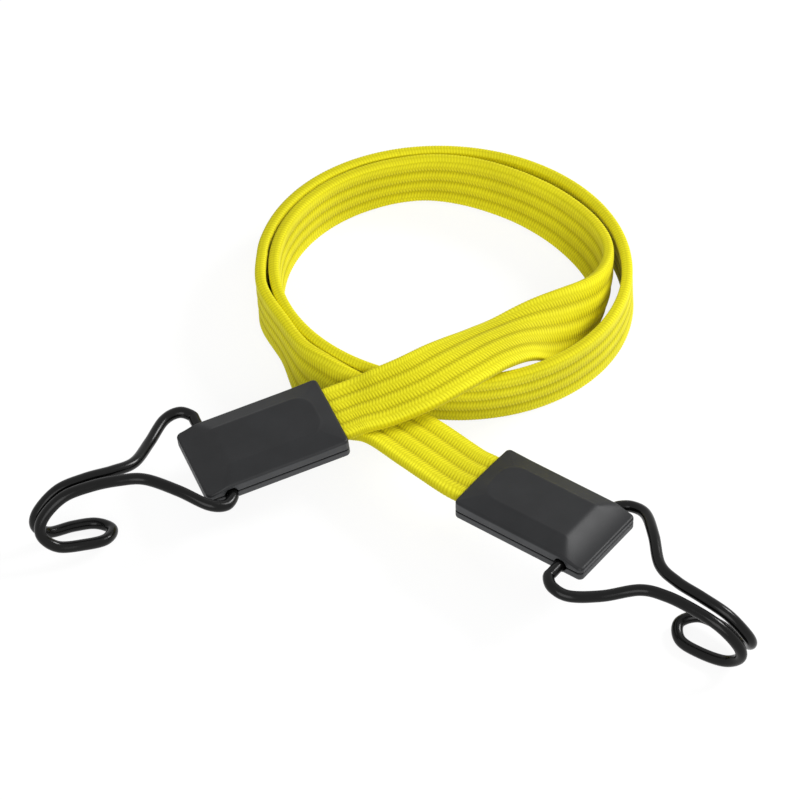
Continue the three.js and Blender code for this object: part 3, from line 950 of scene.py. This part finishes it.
# Black dip coating: nearly black, with long crisp highlights that waver a little where the
# coating is thicker and thinner.
def coated_wire():
    material, tree = new_material("black_coated_steel_wire")
    place = add(tree, "ShaderNodeTexCoord").outputs["Object"]
    ripple = add(tree, "ShaderNodeTexNoise", {
        "Vector": place, "Scale": 1 / (COAT_RIPPLE * MM), "Detail": 2.0,
    })
    rough = add(tree, "ShaderNodeMapRange", {
        0: ripple, 1: RIPPLE_LOW, 2: RIPPLE_HIGH, 3: COAT_ROUGHNESS[0], 4: COAT_ROUGHNESS[1],
    })
    bump = add(tree, "ShaderNodeBump", {
        "Height": ripple, "Strength": 0.15, "Distance": COAT_DEPTH * MM,
    })
    shader = add(tree, "ShaderNodeBsdfPrincipled", {
        "Base Color": linear("#060606"), "Roughness": rough, "IOR": 1.5,
        "Specular IOR Level": 0.2, "Normal": bump,
    })
    add(tree, "ShaderNodeOutputMaterial", {"Surface": shader})
    return material


dress(hooks, coated_wire())

# %% Rubber and steel
RUBBER_BLOTCH = 0.8
RUBBER_ROUGHNESS = (0.75, 0.95)
RUBBER_COLOURS = [(0.35, "#8A7A58"), (0.7, "#A4977A")]
# Mill grain is about 0.1 mm wide; it is drawn coarser so that it shows
ROLLED_GRAIN = 0.5
ROLLED_DEPTH = 0.02
ROLLED_ROUGHNESS = (0.28, 0.48)


# Natural rubber: a dull tan strand, blotched where the talc from its making has stayed on it.
def natural_rubber():
    material, tree = new_material("natural_rubber")
    place = add(tree, "ShaderNodeTexCoord").outputs["Object"]
    talc = add(tree, "ShaderNodeTexNoise", {
        "Vector": place, "Scale": 1 / (RUBBER_BLOTCH * MM), "Detail": 3.0,
    })
    colour = add(tree, "ShaderNodeValToRGB", {"Fac": talc}, stops=RUBBER_COLOURS)
    rough = add(tree, "ShaderNodeMapRange", {
        0: talc, 3: RUBBER_ROUGHNESS[0], 4: RUBBER_ROUGHNESS[1],
    })
    shader = add(tree, "ShaderNodeBsdfPrincipled", {
        "Base Color": colour, "Roughness": rough, "IOR": 1.52,
    })
    add(tree, "ShaderNodeOutputMaterial", {"Surface": shader})
    return material


# Rolled steel sheet: bright metal whose fine mill grain dulls the reflection unevenly.
def rolled_steel():
    material, tree = new_material("rolled_steel_sheet")
    place = add(tree, "ShaderNodeTexCoord").outputs["Object"]
    mill = add(tree, "ShaderNodeTexNoise", {
        "Vector": place, "Scale": 1 / (ROLLED_GRAIN * MM), "Detail": 3.0,
    })
    rough = add(tree, "ShaderNodeMapRange", {
        0: mill, 3: ROLLED_ROUGHNESS[0], 4: ROLLED_ROUGHNESS[1],
    })
    bump = add(tree, "ShaderNodeBump", {
        "Height": mill, "Strength": 0.1, "Distance": ROLLED_DEPTH * MM,
    })
    shader = add(tree, "ShaderNodeBsdfPrincipled", {
        "Base Color": linear("#B4B6B8"), "Roughness": rough, "Metallic": 1.0, "Normal": bump,
    })
    add(tree, "ShaderNodeOutputMaterial", {"Surface": shader})
    return material


dress(strands, natural_rubber())
dress([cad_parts["strap_clip_a"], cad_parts["strap_clip_b"]], rolled_steel())

# %% [markdown]
# ## Floor and light
#
# A white floor and a white sky give soft light from all round. A small bright lamp from behind
# on the right draws the highlights along the wires, and a wide weaker one from the front opens
# up the shaded sides of the strap. More lamps would brighten the plastic, which has to stay
# nearly black.

# %% Floor
FLOOR_HALF = 2000.0
FLOOR_DROP = 0.2
FLOOR_GLOW = 1.1
FLOOR_GLOW_SHARE = 0.8
WHITE = (1.0, 1.0, 1.0, 1.0)
corners = np.array([[[-1, -1, 0], [1, -1, 0]], [[-1, 1, 0], [1, 1, 0]]]) * FLOOR_HALF
floor = grid_mesh("floor", corners - [0, 0, FLOOR_DROP], closed_round=False, caps=False)


def seen_white(tree):
    """1 for camera, glossy and transmission rays, 0 for the rays that light the object."""
    path = add(tree, "ShaderNodeLightPath")
    seen = path.outputs["Is Camera Ray"]
    for label in ("Is Glossy Ray", "Is Transmission Ray"):
        seen = add(tree, "ShaderNodeMath", {0: seen, 1: path.outputs[label]}, operation="MAXIMUM")
    return seen


# White paper: where it is seen it glows nearly to white, and the rest is plain, so that the
# soft shadow under the cord is left.
def white_floor():
    material, tree = new_material("white_floor")
    plain = add(tree, "ShaderNodeBsdfDiffuse", {"Color": linear("#F4F4F4")})
    glow = add(tree, "ShaderNodeEmission", {"Color": WHITE, "Strength": FLOOR_GLOW})
    inputs = {0: seen_white(tree), 1: FLOOR_GLOW_SHARE}
    share = add(tree, "ShaderNodeMath", inputs, operation="MULTIPLY")
    both = add(tree, "ShaderNodeMixShader", {0: share, 1: plain, 2: glow})
    add(tree, "ShaderNodeOutputMaterial", {"Surface": both})
    return material


dress([floor], white_floor())

# %% Sky
SKY_LIGHT = 0.38
SKY_SEEN = 1.0
world = bpy.data.worlds.new("studio")
scene.world = world
world.use_nodes = True
sky = world.node_tree
sky.nodes.clear()
soft = add(sky, "ShaderNodeBackground", {"Color": WHITE, "Strength": SKY_LIGHT})
white = add(sky, "ShaderNodeBackground", {"Color": WHITE, "Strength": SKY_SEEN})
mixed = add(sky, "ShaderNodeMixShader", {0: seen_white(sky), 1: soft, 2: white})
add(sky, "ShaderNodeOutputWorld", {"Surface": mixed})
print("strength of the sky:", SKY_LIGHT)

# %% Lamps
LAMP_TARGET = np.array([0.0, 45.0, 5.0])


def lamp(name, azimuth, elevation, distance, size, power):
    """Square lamp aimed at the middle of the object, from an azimuth counted from +X. Angles
    are in degrees, distance and size in metres, power in watts."""
    data = bpy.data.lights.new(name, "AREA")
    data.shape = "SQUARE"
    data.size = size
    data.energy = power
    light = bpy.data.objects.new(name, data)
    a, e = math.radians(azimuth), math.radians(elevation)
    outwards = np.array([math.cos(e) * math.cos(a), math.cos(e) * math.sin(a), math.sin(e)])
    light.location = LAMP_TARGET * MM + distance * outwards
    light.rotation_euler = (math.pi / 2 - e, 0.0, math.pi / 2 + a)
    scene.collection.objects.link(light)


lamp("key", azimuth=24, elevation=36, distance=0.9, size=0.28, power=5.4)
lamp("fill", azimuth=268, elevation=32, distance=0.9, size=0.6, power=3.5)
print("lamps:", len(bpy.data.lights))
